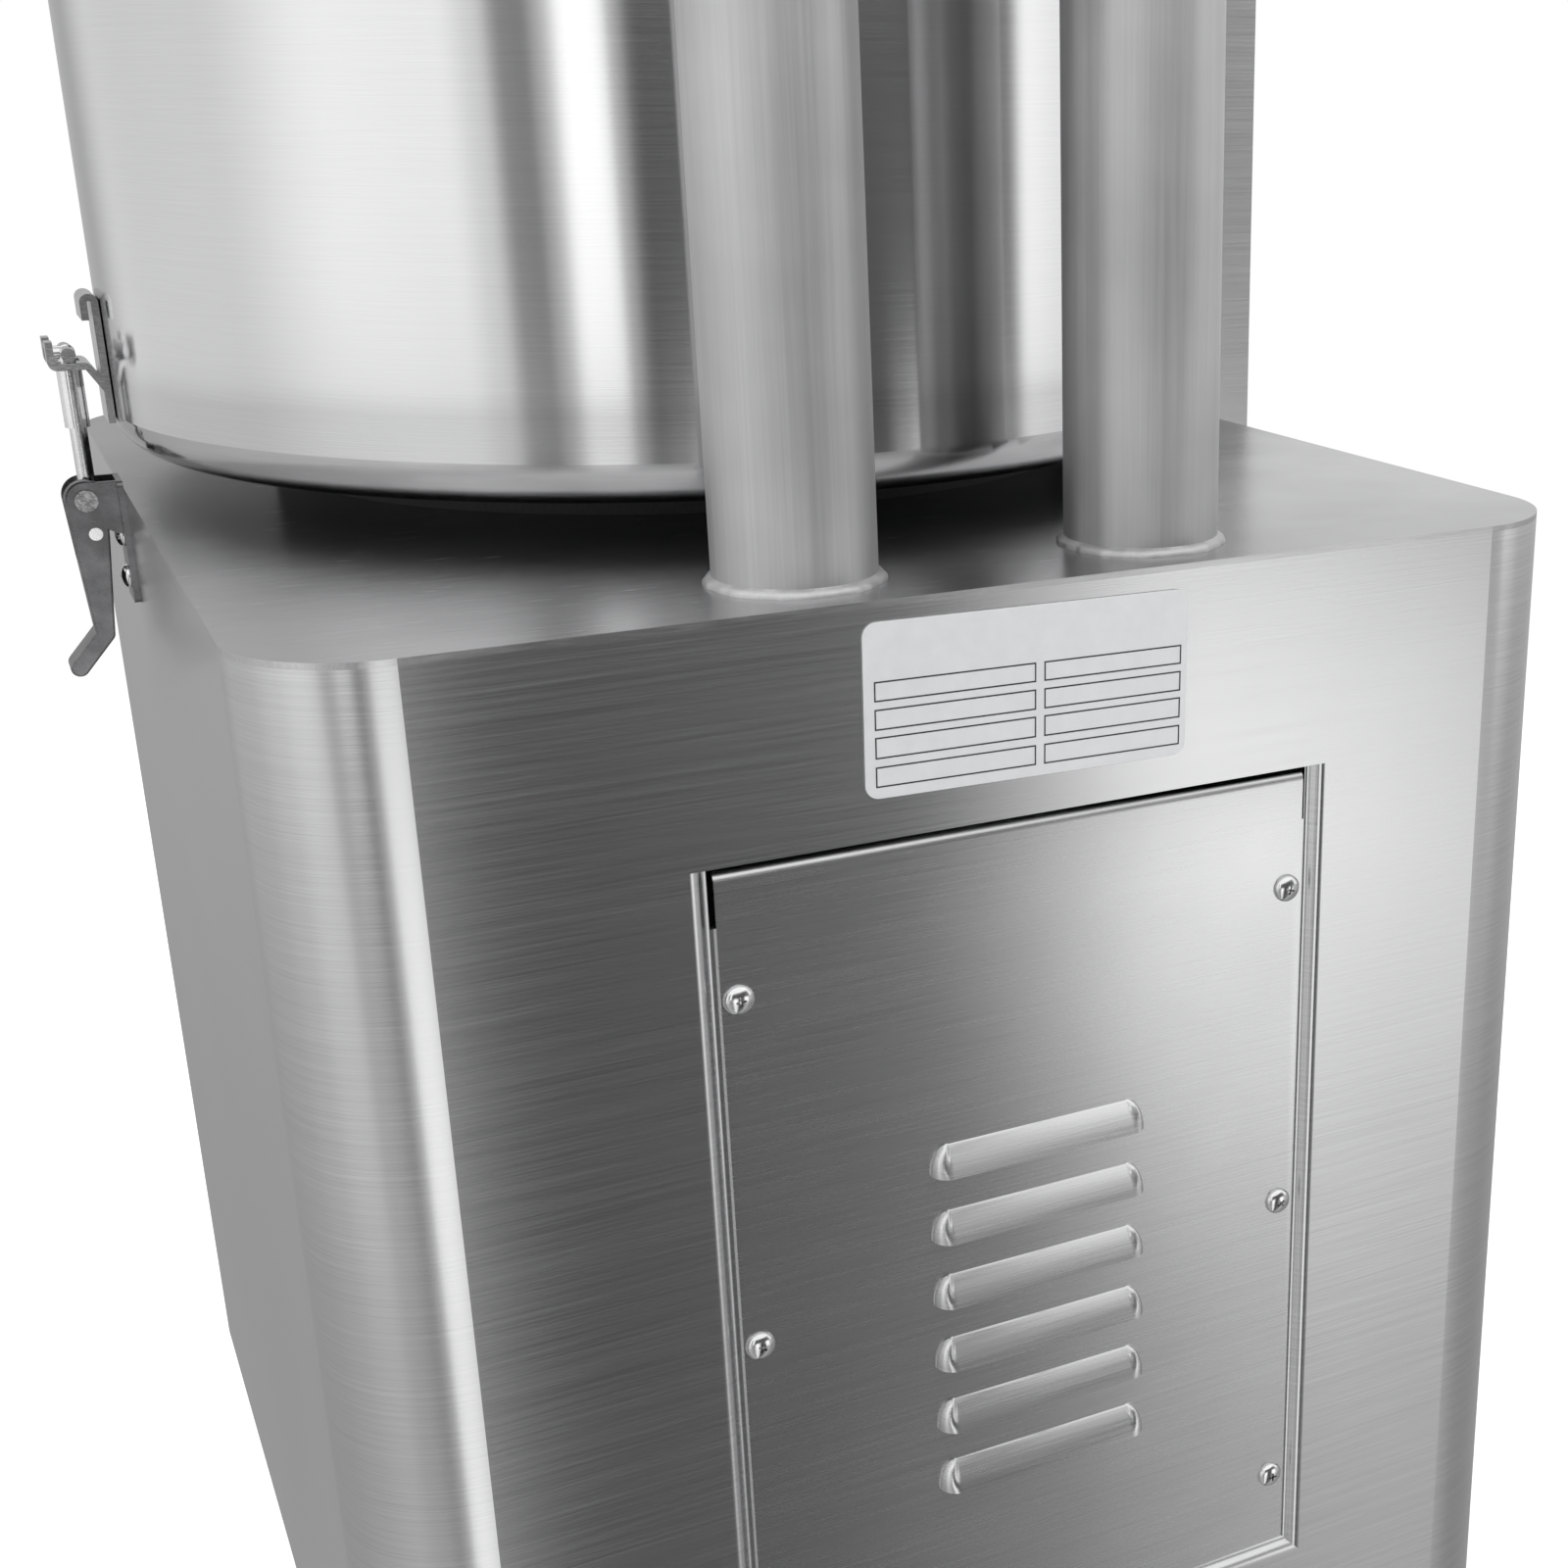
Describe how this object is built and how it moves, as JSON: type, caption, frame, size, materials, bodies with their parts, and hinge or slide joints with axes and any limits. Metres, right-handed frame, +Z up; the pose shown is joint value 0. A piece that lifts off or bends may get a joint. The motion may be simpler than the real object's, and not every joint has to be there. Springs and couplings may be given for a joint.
{
  "type": "potato peeling machine",
  "caption": "Floor-standing steel potato peeler: cabinet with louvred rear panel and belt drive, latched drum with abrasive disc, hinged lid, lift gate and chute.",
  "frame": {"origin": "on the floor, under the middle of the machine, on the axis of the drum", "axes": "+Z up, -Y towards the operator and the chute, +Y towards the rear panel and the posts, +X to the operator's right, where the water inlet is"},
  "size_m": [0.605, 0.623, 0.8958],
  "materials": {
    "steel": "brushed satin",
    "bright_steel": "bright",
    "black_rubber": "matte",
    "grit": "coarse grit",
    "cast_aluminium": "cast",
    "cast_iron": "turned",
    "drive_paint": "matte paint",
    "fan_plastic": "matte",
    "black_plastic": "matte",
    "green_plastic": "gloss",
    "red_plastic": "gloss",
    "grey_plastic": "matte",
    "brass": "turned",
    "valve_paint": "gloss paint"
  },
  "bodies": {
    "base": {"cabinet_shell": "steel", "cabinet_top": "steel", "base_plate": "steel", "foot_front_left": "black_rubber", "foot_front_right": "black_rubber", "foot_rear_left": "black_rubber", "foot_rear_right": "black_rubber", "access_panel": "steel", "pan_screws": "bright_steel", "post_left": "steel", "post_right": "steel", "post_caps": "steel", "hinge_pin": "bright_steel", "drum_shell": "steel", "abrasive_liner": "grit", "seat_ring": "black_rubber", "discharge_chute": "steel", "gate_guide_left": "steel", "gate_guide_right": "steel", "drive_plate": "drive_paint", "bearing_housing": "cast_iron", "spindle_bearings": "bright_steel", "shaft_seal": "black_rubber", "v_belt": "black_rubber", "motor_body": "cast_aluminium", "motor_fan_cover": "fan_plastic", "drive_bolts": "bright_steel", "latch_left_base": "bright_steel", "latch_left_catch": "bright_steel", "latch_right_base": "bright_steel", "latch_right_catch": "bright_steel", "latch_rivets": "bright_steel", "control_box": "steel", "control_cover": "steel", "control_switches": "black_plastic", "cable_gland": "black_plastic", "waste_pipe": "grey_plastic", "water_inlet": "brass"},
    "lid": {"lid": "steel", "lid_arm": "steel", "lid_handle": "bright_steel", "lid_seal": "black_rubber"},
    "gate": {"discharge_gate": "steel", "gate_handle": "bright_steel"},
    "spindle": {"main_shaft": "bright_steel", "peeling_disc": "cast_aluminium", "disc_grit": "grit", "disc_nut": "bright_steel", "large_pulley": "cast_iron"},
    "rotor": {"motor_shaft": "bright_steel", "motor_pulley": "cast_iron"},
    "latch_left_lever": {"latch_left_lever": "bright_steel"},
    "latch_left_rod": {"latch_left_rod": "bright_steel"},
    "latch_right_lever": {"latch_right_lever": "bright_steel"},
    "latch_right_rod": {"latch_right_rod": "bright_steel"},
    "start_button": {"start_button": "green_plastic"},
    "stop_button": {"stop_button": "red_plastic"},
    "timer_knob": {"timer_knob": "black_plastic"},
    "valve_lever": {"valve_lever": "valve_paint"}
  },
  "joints": [
    {"name": "lid_hinge", "type": "hinge", "parent": "base", "child": "lid", "pos_m": [-0.005, 0.27, 0.8578], "axis": [-1, 0, 0], "range_deg": [0, 95]},
    {"name": "gate_slide", "type": "slide", "parent": "base", "child": "gate", "axis": [0, 0, 1], "range_m": [0, 0.115]},
    {"name": "disc_spin", "type": "hinge", "parent": "base", "child": "spindle", "pos_m": [0, 0, 0.4], "axis": [0, 0, 1], "continuous": true},
    {"name": "motor_spin", "type": "hinge", "parent": "base", "child": "rotor", "pos_m": [0, 0.19, 0.42], "axis": [0, 0, 1], "continuous": true},
    {"name": "latch_left_lever_hinge", "type": "hinge", "parent": "base", "child": "latch_left_lever", "pos_m": [0.234, 0, 0.486], "axis": [0, -1, 0], "range_deg": [0, 90]},
    {"name": "latch_left_rod_hinge", "type": "hinge", "parent": "latch_left_lever", "child": "latch_left_rod", "pos_m": [0.2324, 0, 0.473], "axis": [0, -1, 0], "range_deg": [-77, 0]},
    {"name": "latch_right_lever_hinge", "type": "hinge", "parent": "base", "child": "latch_right_lever", "pos_m": [-0.234, 0, 0.486], "axis": [0, 1, 0], "range_deg": [0, 90]},
    {"name": "latch_right_rod_hinge", "type": "hinge", "parent": "latch_right_lever", "child": "latch_right_rod", "pos_m": [-0.2324, 0, 0.473], "axis": [0, 1, 0], "range_deg": [-77, 0]},
    {"name": "start_button_slide", "type": "slide", "parent": "base", "child": "start_button", "axis": [0, 1, 0], "range_m": [0, 0.004], "stiffness_N_per_m": 400, "springref_m": -0.002},
    {"name": "stop_button_slide", "type": "slide", "parent": "base", "child": "stop_button", "axis": [0, 1, 0], "range_m": [0, 0.005], "stiffness_N_per_m": 400, "springref_m": -0.002},
    {"name": "timer_knob_turn", "type": "hinge", "parent": "base", "child": "timer_knob", "pos_m": [-0.262, -0.177, 0.516], "axis": [0, 1, 0], "range_deg": [0, 270]},
    {"name": "valve_lever_turn", "type": "hinge", "parent": "base", "child": "valve_lever", "pos_m": [0.257, 0, 0.834], "axis": [0, 0, 1], "range_deg": [0, 90]}
  ],
  "couplings": [
    {"joint": "motor_spin", "follows": "disc_spin", "ratio": 4},
    {"joint": "latch_left_rod_hinge", "follows": "latch_left_lever_hinge", "ratio": -0.855},
    {"joint": "latch_right_rod_hinge", "follows": "latch_right_lever_hinge", "ratio": -0.855}
  ]
}
